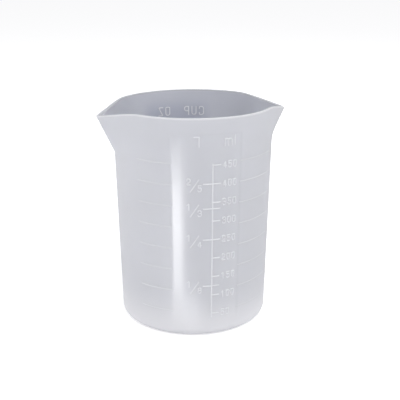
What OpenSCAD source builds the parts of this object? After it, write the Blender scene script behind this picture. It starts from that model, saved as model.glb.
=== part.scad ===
// Resin mixing cup: a tapered, one-piece moulded cup with two pointed spouts, two
// polished windows in its wall, and raised graduations.
// The cup stands on z = 0 with its axis on Z. The spouts point along -X and +X, the
// litre and millilitre scale faces -Y, and the cup and ounce scale faces +Y.
// Angles along the wall are in degrees from the middle of a scale's side, and grow to
// the right of somebody who looks at that side.

/* [Body] */
// Diameter that the tapered wall would reach at the table
base_d = 79.8; // [70:0.2:90]
// Diameter of the round part of the rim
rim_d = 85.6; // [76:0.2:96]
// Height of the round part of the rim
cup_h = 117.8; // [112:0.2:150]
// Thickness of the wall
wall = 1.5; // [1.2:0.1:2]
// Thickness of the floor
floor_t = 2.5; // [1.5:0.1:4]
// Outer radius where the wall turns under
corner_r = 4.8; // [4:0.2:8]
// Rounding of the two edges of the rim
rim_round = 0.4; // [0.2:0.1:0.5]
// Width of the ring that the cup stands on
foot_w = 8; // [4:0.5:14]
// Depth of the recess inside that ring
foot_recess = 0.5; // [0.2:0.1:1]

/* [Spouts] */
// Distance from the cup's axis to the tip of a spout
spout_reach = 51.8; // [49:0.2:54]
// Outer radius of the tip, seen from above
spout_tip_r = 4.3; // [3.2:0.1:6]
// Thickness of the lip at the very tip
spout_tip_wall = 2.6; // [1.6:0.1:3]
// How far the tip lies below the round part of the rim
spout_drop = 4.7; // [2:0.1:8]
// How the rim falls towards the tip: 1 is straight, more is later and steeper
spout_drop_power = 1.45; // [1:0.05:2]
// Height where the keel starts to leave the wall
keel_z = 91.5; // [86:0.5:98]
// Height over which the keel bends out
keel_bend = 2; // [1:0.5:6]

/* [Windows] */
// Left edge of the front window
front_window_left = -29.5; // [-32:0.5:-24]
// Right edge of the front window
front_window_right = 20; // [19:0.5:32]
// Half of the angle that the back window spans
back_window_half = 25; // [25:0.5:32]
// Height of the top edge of both windows
window_top = 109.6; // [108:0.2:110]
// Height of the bottom edge of both windows
window_bottom = 6; // [6:0.5:10]
// How far a window lies below the frosted wall
window_depth = 0.2; // [0.1:0.05:0.3]

/* [Graduations] */
// Millilitres in one fluid ounce
ounce_ml = 28.41; // [28.41, 29.57]
// Ounces between two rings
ounce_step = 2; // [2]
// Number of rings up the wall
ring_count = 8; // [1:1:8]
// Angle from the middle of a side where its rings end, short of the spouts
ring_end = 56; // [40:1:60]
// Millilitres between two marks of the millilitre scale
ml_step = 50; // [50, 100]
// Highest mark of the millilitre scale
ml_top = 450; // [200:50:450]
// Width of a ring, a tick or a ruler line
line_w = 0.7; // [0.4:0.1:1]
// How far raised marks stand above the surface that they are on
relief = 0.35; // [0.2:0.05:0.6]
// How far the root of a mark reaches into the wall
root = 0.1; // [0.05:0.05:0.3]
// Where a ruler line starts above the table
ruler_bottom = 11.5; // [8:0.5:13]
// Angle of the ruler line of the front scale
front_ruler = -1; // [-1:0.5:1]
// Angle of the ruler line of the back scale
back_ruler = -3; // [-4:0.5:0]
// Length of a short tick, as an angle
tick_short = 5.2; // [3:0.2:6]
// Length of a long tick to the left of a ruler line, as an angle
tick_long = 6.2; // [4:0.2:6.6]

/* [Lettering] */
// Width of the strokes of numbers and letters
stroke = 0.6; // [0.3:0.05:0.6]
// Height of the scale numbers
number_h = 3.9; // [3:0.1:4.5]
// Width of a scale number's digit
number_w = 2.2; // [1.6:0.05:2.4]
// Spacing of a scale number's digits
number_pitch = 2.85; // [2.2:0.05:3]
// Height of the unit names at the top of the scales
heading_h = 5.3; // [4:0.1:5.6]
// Width of a capital letter in a unit name
capital_w = 3.1; // [2.4:0.1:3.4]
// Gap between two capital letters
capital_gap = 1.4; // [0.8:0.1:1.6]
// Width of the small letter m in a unit name
small_m_w = 4.4; // [3:0.1:4.4]
// Height of the small letter m
small_m_h = 4; // [3:0.1:4.6]
// Distance from the side of the small m to the middle of the l that follows it
small_l_gap = 1.5; // [1:0.1:2]
// Height where the unit names of the front scale stand
front_heading_z = 103.4; // [102.8:0.2:104]
// Height where the unit names of the back scale stand
back_heading_z = 102.8; // [101.8:0.2:104]

/* [Fractions] */
// Height of the digits in a fraction
fraction_h = 3.6; // [3:0.1:4]
// Distance from the middle of a fraction to the middle of each of its digits
fraction_side = 2.75; // [2.6:0.05:3.1]
// How far the foot of the upper digit stands below the middle of its tick
fraction_fall = 0.4; // [0.4:0.1:1.4]
// Width of the slash
slash_w = 4.6; // [3.8:0.1:5]
// Height of the slash
slash_h = 6.6; // [6:0.1:7.6]
// How far the slash stands to the right of the fraction's middle
slash_shift = 0.2; // [0:0.05:0.4]
// Distance from the middle of a fraction to the middle of a whole number before it
whole_side = 5.4; // [5.2:0.1:6]

/* [Columns] */
// Angle from the front ruler line to the start of the millilitre numbers
ml_number_column = 7; // [6.5:0.5:8.5]
// Angle from the front ruler line to the start of the millilitre sign
ml_heading_column = 8; // [6:0.5:8]
// Angle from the front ruler line back to the middle of the litre sign
litre_heading_column = 11.1; // [10:0.1:12]
// Angle from a ruler line back to the middle of the fractions
fraction_column = 12.9; // [12.5:0.1:13.5]
// Angle from the back ruler line to the start of the ounce numbers
oz_number_column = 7.2; // [6.4:0.2:8.4]
// Angle from the back ruler line to the start of the ounce sign
oz_heading_column = 7.4; // [6.4:0.2:8.4]
// Angle from the back ruler line back to the start of the cup sign
cup_heading_column = 20.5; // [18:0.5:21]

/* [Hidden] */
$fn = 96;

frosted = [0.84, 0.84, 0.87];
mark_colour = [0.93, 0.93, 0.95];

// The wall's cone
taper = (rim_d - base_d) / 2 / cup_h;
taper_angle = atan(taper);
wall_x = wall / cos(taper_angle);

// The spouts
tip_z = cup_h - spout_drop;
keel_slope = (spout_reach - wall_r(keel_z)) / (tip_z - keel_z - keel_bend / 2);
lip_angle = acos((wall_r(cup_h) - spout_tip_r) / (spout_reach - spout_tip_r));

// A spout takes the place of the round wall this far past its lips and below its keel,
// in degrees and millimetres
spout_past_lips = 3;
spout_below_keel = 1;
spout_half = ceil(lip_angle) + spout_past_lips;
spout_base_z = keel_z - spout_below_keel;

// The spout's mesh: how many columns it has, how much closer together they stand at the
// tip, and where its rows lie between its foot and the rim
spout_columns = 36;
column_power = 1.4;
wall_rows = [0, 0.07, 0.14, 0.24, 0.4, 0.58, 0.78, 1];

// A spout's mesh runs this far into the round wall, in degrees and millimetres, and
// there it lies this far inside the wall's surfaces, so that the two cross cleanly
spout_overlap = 1;
seam = 0.03;

// How far a shape that is cut away reaches past the surface that it opens
clear = 1;

// The litre scale's marks, each as a top and a bottom number
litre_fractions_of = [[1, 8], [1, 4], [1, 3], [2, 5]];

ounces_per_cup = 8;

// Half of the width of a ruler line, as an angle. Ticks start at its sides.
line_half = degrees_of(line_w, window_top) / 2;

// Distance of the centroid of the section that a rounded corner leaves out from the
// corner's sides, as a share of its radius
corner_centroid = (10 - 3 * PI) / (12 - 3 * PI);

// Radius of the wall's outside at height z
function wall_r(z) = base_d / 2 + taper * z;

// Radius of the surface that a window's marks stand on
function window_r(z) = wall_r(z) - window_depth;

// Degrees along the wall that a length of x takes up at height z
function degrees_of(x, z) = x / wall_r(z) * 180 / PI;

// Height that ml millilitres of liquid reach, from the volume of the inner cone with
// its rounded corner at the floor
function level(ml) =
    let (
        r_zero = base_d / 2 - wall_x,
        r_floor = r_zero + taper * floor_t,
        r_corner = corner_r - wall,
        lost = 2 * PI * (r_floor - corner_centroid * r_corner) * (1 - PI / 4) * pow(r_corner, 2),
        cubed = pow(r_floor, 3) + 3 * taper / PI * (ml * 1000 + lost)
    )
    (pow(cubed, 1 / 3) - r_zero) / taper;

// Distance from the axis to the keel of a spout at height z: a straight line that
// leaves the wall in a short bend, and stands upright above the tip
function keel_r(z) =
    let (
        up = min(z, tip_z) - keel_z,
        run = up <= 0 ? 0 : up < keel_bend ? pow(up, 2) / (2 * keel_bend) : up - keel_bend / 2
    )
    max(wall_r(z), wall_r(keel_z) + keel_slope * run);

// Outline of the cup at height z, as the radius at angle a from a spout's axis: the
// wall's circle and the tip's small arc, joined by straight lips that touch both.
// inset moves it in through the wall, and further at the tip, where the lip is thick.
function outline_r(a, z, inset) =
    let (
        grown = max(0, min(1, (z - keel_z) / (tip_z - keel_z))),
        extra = (spout_tip_wall - wall) * inset / wall * grown,
        r = wall_r(z) - inset / cos(taper_angle),
        tip_r = spout_tip_r - inset,
        tip_x = keel_r(z) - spout_tip_r - extra,
        touch = acos(min(1, (r - tip_r) / tip_x)),
        tip_end = atan2(tip_r * sin(touch), tip_x + tip_r * cos(touch)),
        b = abs(a)
    )
    b >= touch ? r
    : b > tip_end ? r / cos(b - touch)
    : tip_x * cos(b) + sqrt(pow(tip_r, 2) - pow(tip_x * sin(b), 2));

// Height of the rim at angle a from a spout's axis
function rim_z(a) = cup_h - spout_drop * pow(max(0, 1 - abs(a) / lip_angle), spout_drop_power);

// The rim's rounded edge as [inset, drop] pairs, from the outside to the inside
round_mid = rim_round * (1 - cos(45));
rim_edge = [
    [0, rim_round], [round_mid, round_mid], [rim_round, 0],
    [wall - rim_round, 0], [wall - round_mid, round_mid], [wall, rim_round]
];

// Points down one column of the spout's wall, as [inset, height]: up the outside, over
// the rim, down the inside
function column(a) =
    let (top = rim_z(a) - rim_round - seam, low = spout_base_z - spout_overlap)
    concat(
        [for (i = [0 : len(wall_rows) - 2]) [seam, low + (top - low) * wall_rows[i]]],
        [for (e = rim_edge) [seam + e[0] * (1 - 2 * seam / wall), rim_z(a) - e[1] - seam]],
        [for (i = [len(wall_rows) - 2 : -1 : 0]) [wall - seam, low + (top - low) * wall_rows[i]]]
    );

function column_angle(i) =
    let (u = 2 * i / spout_columns - 1)
    (spout_half + spout_overlap) * sign(u) * pow(abs(u), column_power);

// One pointed spout, with its share of the wall and the rim, as a closed mesh about +X
module spout() {
    columns = [for (i = [0 : spout_columns]) column(column_angle(i))];
    n = len(columns[0]);
    points = [
        for (i = [0 : spout_columns]) let (a = column_angle(i))
            for (p = columns[i]) let (r = outline_r(a, p[1], p[0]))
                [r * cos(a), r * sin(a), p[1]]
    ];
    skin = [
        for (i = [0 : spout_columns - 1]) for (j = [0 : n - 1])
            let (k = (j + 1) % n, here = i * n, next = here + n)
                each [[here + j, next + k, next + j], [here + j, here + k, next + k]]
    ];
    first_end = [for (j = [n - 1 : -1 : 0]) j];
    last_end = [for (j = [0 : n - 1]) spout_columns * n + j];
    polyhedron(points, concat(skin, [first_end, last_end]), convexity = 6);
}

// Half section of a tapered tub from height low up to height high, inset from the wall
module tub_section(low, high, inset, r) {
    shift = inset / cos(taper_angle);
    corner_x = wall_r(low + r) - shift - r / cos(taper_angle);
    touch_z = low + r - r * sin(taper_angle);
    polygon([
        [0, low], [corner_x, low], [corner_x, low + r],
        [wall_r(touch_z) - shift, touch_z], [wall_r(high) - shift, high], [0, high]
    ]);
    translate([corner_x, low + r]) circle(r);
}

// Half section of the rim's solid edge, above the tub
module rim_section() {
    polygon([
        for (e = rim_edge) [wall_r(cup_h - e[1]) - e[0] / cos(taper_angle), cup_h - e[1]]
    ]);
}

// The round cup, without its spouts
module round_shell() {
    top = cup_h - rim_round;
    rotate_extrude() {
        difference() {
            tub_section(0, top, 0, corner_r);
            tub_section(floor_t, top + clear, wall, corner_r - wall);
        }
        rim_section();
    }
}

// The part of the round wall that a spout takes the place of
module spout_gap() {
    rotate([0, 0, -spout_half])
        rotate_extrude(angle = 2 * spout_half)
            translate([rim_d / 4, spout_base_z])
                square([rim_d / 2, cup_h]);
}

// The skin that is missing over a window, between two angles
module window_recess(from, to) {
    side(from)
        rotate_extrude(angle = to - from)
            polygon([
                [window_r(window_bottom), window_bottom],
                [window_r(window_top), window_top],
                [wall_r(window_top) + clear, window_top],
                [wall_r(window_bottom) + clear, window_bottom]
            ]);
}

// Turns a shape that starts on +X so that it starts at this angle of the front
module side(angle) {
    rotate([0, 0, angle - 90]) children();
}

// Turns what is drawn on the front to the back
module on_back() {
    rotate([0, 0, 180]) children();
}

// A raised line around the wall at height z, between two angles, on a surface of
// radius r there
module wall_line(from, to, z, r) {
    half = line_w / 2;
    side(from)
        rotate_extrude(angle = to - from)
            polygon([
                [r - half * taper - root, z - half], [r + relief, z - half],
                [r + relief, z + half], [r + half * taper - root, z + half]
            ]);
}

// A raised upright line in a window, at this angle, between two heights
module ruler_line(angle, low, high) {
    side(angle - line_half)
        rotate_extrude(angle = 2 * line_half)
            polygon([
                [window_r(low) - root, low], [window_r(low) + relief, low],
                [window_r(high) + relief, high], [window_r(high) - root, high]
            ]);
}

// Long ticks in a window at the levels of these volumes, to the left of a ruler line
module left_ticks(volumes, ruler) {
    for (v = volumes)
        wall_line(ruler - tick_long, ruler - line_half, level(v), window_r(level(v)));
}

// Short ticks in a window at the levels of these volumes, to the right of a ruler line
module right_ticks(volumes, ruler) {
    for (v = volumes)
        wall_line(ruler + line_half, ruler + tick_short, level(v), window_r(level(v)));
}

// One stroke of a sign: a straight bar with its ends drawn on by half a stroke where
// asked, or an arc
function bar(x0, y0, x1, y1, start = 0, end = 0) = ["bar", x0, y0, x1, y1, start, end];
function arc(x, y, r, from, to) = ["arc", x, y, r, from, to];

// The strokes of one sign, w from its middle line to its sides and h high. quarter is
// the radius of the bowls of a 3, and loop that of the loops of an 8, a little less so
// that the edges of the two cross. five_r and p_r are the bowls of a 5 and a P.
function strokes(sign, w, h) =
    let (quarter = h / 4, loop = 0.97 * quarter, five_r = 0.29 * h, p_r = 0.27 * h, flag = 0.9 * w)
    sign == "0" || sign == "O" ? [
        arc(0, h - w, w, 0, 180), arc(0, w, w, 180, 360), bar(-w, w, -w, h - w), bar(w, w, w, h - w)
    ]
    : sign == "1" ? [bar(0, 0, 0, h, 1, 1), bar(-flag, h - flag, 0, h, 1)]
    : sign == "2" ? [
        arc(0, h - w, w, -30, 180), bar(w * cos(30), h - w * (1 + sin(30)), -w, 0),
        bar(-w, 0, w, 0, 1, 1)
    ]
    : sign == "3" ? [
        arc(w - quarter, 3 * quarter, quarter, -90, 150), arc(w - quarter, quarter, quarter, -150, 90)
    ]
    : sign == "4" ? [
        bar(w / 2, 0, w / 2, h, 1, 1), bar(w / 2, h, -w, quarter), bar(-w, quarter, w, quarter, 1, 1)
    ]
    : sign == "5" ? [
        bar(-w, h, w, h, 1, 1), bar(-w, h, -w, five_r * (1 + sin(120))),
        arc(w - five_r, five_r, five_r, -140, 120)
    ]
    : sign == "6" ? [
        arc(0, w, w, 0, 360), bar(-w, w, -w, h - w), arc(0, h - w, w, 40, 180)
    ]
    : sign == "8" ? [arc(0, loop, loop, 0, 360), arc(0, h - loop, loop, 0, 360)]
    : sign == "/" ? [bar(-w, 0, w, h)]
    : sign == "l" ? [bar(0, 0, 0, h, 1, 1)]
    : sign == "m" ? [
        bar(-w, 0, -w, h, 1, 1), bar(0, 0, 0, h - w / 2, 1), bar(w, 0, w, h - w / 2, 1),
        arc(-w / 2, h - w / 2, w / 2, 0, 180), arc(w / 2, h - w / 2, w / 2, 0, 180)
    ]
    : sign == "L" ? [bar(-w, 0, -w, h, 1, 1), bar(-w, 0, w, 0, 1, 1)]
    : sign == "C" ? [arc(0, h - w, w, 15, 180), arc(0, w, w, 180, 345), bar(-w, w, -w, h - w)]
    : sign == "U" ? [bar(-w, w, -w, h, 0, 1), bar(w, w, w, h, 0, 1), arc(0, w, w, 180, 360)]
    : sign == "P" ? [
        bar(-w, 0, -w, h, 1, 1), bar(-w, h, w - p_r, h),
        bar(-w, h - 2 * p_r, w - p_r, h - 2 * p_r), arc(w - p_r, h - p_r, p_r, -90, 90)
    ]
    : sign == "Z" ? [bar(-w, h, w, h, 1, 1), bar(w, h, -w, 0), bar(-w, 0, w, 0, 1, 1)]
    : [];

// One raised sign, upright on the front of the window with its foot at height z. turn
// stands it on its head.
module raised_sign(sign, angle, z, width, height, turn = 0) {
    w = (width - stroke) / 2;
    h = height - stroke;
    mid_z = z + height / 2;
    rotate([0, 0, angle])
        translate([0, -window_r(mid_z), mid_z])
            rotate([90 + taper_angle, 0, 0])
                rotate([0, 0, turn])
                    translate([0, -h / 2, -root])
                        for (s = strokes(sign, w, h))
                            raised_stroke(s);
}

module raised_stroke(s) {
    deep = relief + root;
    if (s[0] == "bar") {
        start = s[5] * stroke / 2;
        end = s[6] * stroke / 2;
        run = norm([s[3] - s[1], s[4] - s[2]]);
        translate([s[1], s[2], 0])
            rotate([0, 0, atan2(s[4] - s[2], s[3] - s[1])])
                translate([-start, -stroke / 2, 0])
                    cube([run + start + end, stroke, deep]);
    } else {
        translate([s[1], s[2], 0])
            rotate([0, 0, s[4]])
                rotate_extrude(angle = s[5] - s[4])
                    translate([s[3] - stroke / 2, 0])
                        square([stroke, deep]);
    }
}

// Signs in a row from this angle on, with their middles a pitch apart
module sign_row(signs, start, z, width, height, pitch) {
    step = degrees_of(pitch, z);
    for (i = [0 : len(signs) - 1])
        raised_sign(signs[i], start + degrees_of(width / 2, z) + i * step, z, width, height);
}

// Capital letters in a row from this angle on
module capitals(letters, start, z) {
    sign_row(letters, start, z, capital_w, heading_h, capital_w + capital_gap);
}

// A number beside its tick, centred on the tick's height
module scale_number(value, volume, start) {
    z = level(volume) - number_h / 2;
    sign_row(str(value), start, z, number_w, number_h, number_pitch);
}

// A fraction top / bottom beside its tick, with a whole number before it where there is one
module scale_fraction(whole, top, bottom, volume, middle) {
    z = level(volume) - fraction_fall;
    aside = degrees_of(fraction_side, z);
    low = z - fraction_h;
    raised_sign(str(top), middle - aside, z, number_w, fraction_h);
    raised_sign(str(bottom), middle + aside, low, number_w, fraction_h);
    raised_sign("/", middle + degrees_of(slash_shift, z), low, slash_w, slash_h);
    if (whole > 0) {
        whole_z = low + (slash_h - number_h) / 2;
        raised_sign(str(whole), middle - degrees_of(whole_side, z), whole_z, number_w, number_h);
    }
}

ml_volumes = [for (v = [ml_step : ml_step : ml_top]) v];
litre_volumes = [for (f = litre_fractions_of) 1000 * f[0] / f[1]];
ounces = [for (i = [1 : ring_count]) i * ounce_step];
ounce_volumes = [for (o = ounces) o * ounce_ml];
front_ruler_top = level(ml_top) + line_w / 2;
back_ruler_top = level(max(ounce_volumes)) + line_w / 2;

// The cup itself: floor, tapered wall, rim and both spouts in one moulding
module cup_body() {
    color(frosted)
        difference() {
            union() {
                difference() {
                    round_shell();
                    spout_gap();
                    on_back() spout_gap();
                }
                spout();
                on_back() spout();
            }
            window_recess(front_window_left, front_window_right);
            on_back() window_recess(-back_window_half, back_window_half);
            translate([0, 0, -clear])
                cylinder(d = base_d - 2 * (corner_r + foot_w), h = clear + foot_recess);
        }
}

// Rings round the frosted wall on both sides of both windows, at the ounce levels
module ounce_rings() {
    color(mark_colour)
        for (v = ounce_volumes) {
            z = level(v);
            wall_line(-ring_end, front_window_left, z, wall_r(z));
            wall_line(front_window_right, ring_end, z, wall_r(z));
            on_back() wall_line(-ring_end, -back_window_half, z, wall_r(z));
            on_back() wall_line(back_window_half, ring_end, z, wall_r(z));
        }
}

module front_ruler_line() {
    color(mark_colour) ruler_line(front_ruler, ruler_bottom, front_ruler_top);
}

module millilitre_ticks() {
    color(mark_colour) right_ticks(ml_volumes, front_ruler);
}

module millilitre_numbers() {
    color(mark_colour)
        for (v = ml_volumes)
            scale_number(v, v, front_ruler + ml_number_column);
}

module millilitre_heading() {
    step = degrees_of(small_m_w / 2 + small_l_gap, front_heading_z);
    middle = front_ruler + ml_heading_column + degrees_of(small_m_w / 2, front_heading_z);
    color(mark_colour) {
        raised_sign("m", middle, front_heading_z, small_m_w, small_m_h);
        raised_sign("l", middle + step, front_heading_z, number_w, heading_h);
    }
}

// Where a millilitre tick stands at the same level, the litre tick has only its left side
module litre_ticks() {
    color(mark_colour) {
        left_ticks(litre_volumes, front_ruler);
        right_ticks([for (v = litre_volumes) if (v % ml_step != 0) v], front_ruler);
    }
}

module litre_fractions() {
    color(mark_colour)
        for (i = [0 : len(litre_volumes) - 1]) {
            f = litre_fractions_of[i];
            scale_fraction(0, f[0], f[1], litre_volumes[i], front_ruler - fraction_column);
        }
}

// The litre sign stands on its head
module litre_heading() {
    middle = front_ruler - litre_heading_column;
    color(mark_colour) raised_sign("L", middle, front_heading_z, capital_w, heading_h, 180);
}

module back_ruler_line() {
    color(mark_colour) on_back() ruler_line(back_ruler, ruler_bottom, back_ruler_top);
}

module ounce_ticks() {
    color(mark_colour) on_back() right_ticks(ounce_volumes, back_ruler);
}

module ounce_numbers() {
    color(mark_colour)
        on_back()
            for (i = [0 : len(ounces) - 1])
                scale_number(ounces[i], ounce_volumes[i], back_ruler + oz_number_column);
}

module ounce_heading() {
    color(mark_colour) on_back() capitals("OZ", back_ruler + oz_heading_column, back_heading_z);
}

module cup_ticks() {
    color(mark_colour) on_back() left_ticks(ounce_volumes, back_ruler);
}

// Quarter cups, in lowest terms
module cup_fractions() {
    middle = back_ruler - fraction_column;
    color(mark_colour)
        on_back()
            for (i = [0 : len(ounces) - 1]) {
                quarters = ounces[i] * 4 / ounces_per_cup;
                whole = floor(quarters / 4);
                rest = quarters - 4 * whole;
                if (rest == 0)
                    scale_number(whole, ounce_volumes[i], middle);
                else if (rest == 2)
                    scale_fraction(whole, 1, 2, ounce_volumes[i], middle);
                else
                    scale_fraction(whole, rest, 4, ounce_volumes[i], middle);
            }
}

module cup_heading() {
    color(mark_colour) on_back() capitals("CUP", back_ruler - cup_heading_column, back_heading_z);
}

cup_body();
ounce_rings();
front_ruler_line();
millilitre_ticks();
millilitre_numbers();
millilitre_heading();
litre_ticks();
litre_fractions();
litre_heading();
back_ruler_line();
ounce_ticks();
ounce_numbers();
ounce_heading();
cup_ticks();
cup_fractions();
cup_heading();
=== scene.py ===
"""Dresses the resin mixing cup: a frosted, translucent moulding with polished windows and raised scales.

Sizes are in millimetres, as the maker would write them, and are turned to metres where a mesh is made.
Angles along the wall are in degrees from the middle of a scale's side, and grow to the right of somebody
who looks at that side. The litre scale faces -Y and the cup scale faces +Y, and the spouts point along X.
"""

import logging
import math
from collections.abc import Iterable
from dataclasses import dataclass, field
from enum import Enum
from typing import ClassVar

import bmesh
import bpy
import numpy as np
from mathutils import Matrix, Vector


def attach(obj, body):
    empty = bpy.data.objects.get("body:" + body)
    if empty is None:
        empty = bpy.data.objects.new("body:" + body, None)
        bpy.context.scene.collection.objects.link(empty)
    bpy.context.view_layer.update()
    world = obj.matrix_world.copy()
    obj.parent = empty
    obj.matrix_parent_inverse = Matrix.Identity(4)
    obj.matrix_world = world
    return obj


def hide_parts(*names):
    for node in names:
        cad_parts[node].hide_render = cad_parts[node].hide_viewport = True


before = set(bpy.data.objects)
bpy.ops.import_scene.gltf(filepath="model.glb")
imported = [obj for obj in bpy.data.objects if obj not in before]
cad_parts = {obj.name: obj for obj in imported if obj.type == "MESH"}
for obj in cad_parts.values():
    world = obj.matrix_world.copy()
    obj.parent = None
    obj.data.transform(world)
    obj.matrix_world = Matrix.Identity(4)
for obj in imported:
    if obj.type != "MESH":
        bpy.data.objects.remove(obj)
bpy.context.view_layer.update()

MM = 0.001
# Points of a mesh that lie less than this apart, in metres, are one.
SAME_PLACE = 1e-7
BODY = "root"
WHITE = (1.0, 1.0, 1.0, 1.0)
# The sockets of a Mix node share their names, so they go by number: its share, then its pairs of inputs.
MIX_SHARE, VALUE_A, VALUE_B, COLOUR_A, COLOUR_B = 0, 2, 3, 6, 7
MIXED_COLOUR = 2
log = logging.getLogger("mixing_cup")


class Side(Enum):
    """The two sides of the cup that carry a scale, as turns about its axis in degrees."""

    FRONT = 0.0
    BACK = 180.0

    @property
    def heading(self) -> float:
        """Angle of the side's middle about the axis, in degrees counter-clockwise from +X."""
        return self.value - 90


class Skin(Enum):
    """The parts of the cup's section, which follow different rules."""

    ROUND = "floor, corners and foot, round about the axis"
    OUTER = "outside of the wall"
    INNER = "inside of the wall"
    RIM = "rounded upper edge"


def srgb(code: str) -> tuple[float, float, float, float]:
    """Turns an sRGB hex colour into linear colour.

    Args:
        code: six hex digits after a hash sign.

    Returns:
        Linear red, green and blue, and an alpha of 1.
    """
    values = [int(code[i : i + 2], 16) / 255 for i in (1, 3, 5)]
    linear = [v / 12.92 if v <= 0.04045 else ((v + 0.055) / 1.055) ** 2.4 for v in values]
    return (*linear, 1.0)


def add_node(tree: bpy.types.NodeTree, kind: str, links: dict[str | int, object] | None = None,
             **settings: object) -> bpy.types.Node:
    """Adds one node with its settings and its inputs.

    Args:
        tree: the tree that the node goes into.
        kind: the node's Blender type.
        links: input name or number to a value, or to the output socket that feeds it.
        settings: the node's own properties.

    Returns:
        The new node.
    """
    node = tree.nodes.new(kind)
    for name, value in settings.items():
        setattr(node, name, value)
    for key, value in (links or {}).items():
        socket = node.inputs[key]
        if isinstance(value, bpy.types.NodeSocket):
            tree.links.new(value, socket)
        else:
            socket.default_value = value
    return node


def add_object(name: str, data: bpy.types.ID) -> bpy.types.Object:
    """Adds an object to the scene, at the origin.

    Args:
        name: the object's name.
        data: its mesh, curve, camera or lamp.

    Returns:
        The new object.
    """
    made = bpy.data.objects.new(name, data)
    bpy.context.scene.collection.objects.link(made)
    return made


def start_material(name: str, even: dict[str, object]) -> tuple[bpy.types.Material, bpy.types.Node]:
    """Makes a material and sets what is the same all over.

    Args:
        name: the material's name.
        even: the shader's values, by the name of their input.

    Returns:
        The material and its shader.
    """
    material = bpy.data.materials.new(name)
    material.use_nodes = True
    shader = material.node_tree.nodes["Principled BSDF"]
    for socket, value in even.items():
        shader.inputs[socket].default_value = value
    return material, shader


def step_up(value: np.ndarray, edge: float, width: float) -> np.ndarray:
    """Rises smoothly from 0 to 1 over a width about an edge.

    Args:
        value: where to read the step.
        edge: the step's middle.
        width: how wide the slope is.

    Returns:
        The height of the step at each value.
    """
    share = np.clip((value - edge) / width + 0.5, 0, 1)
    return share * share * (3 - 2 * share)


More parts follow.
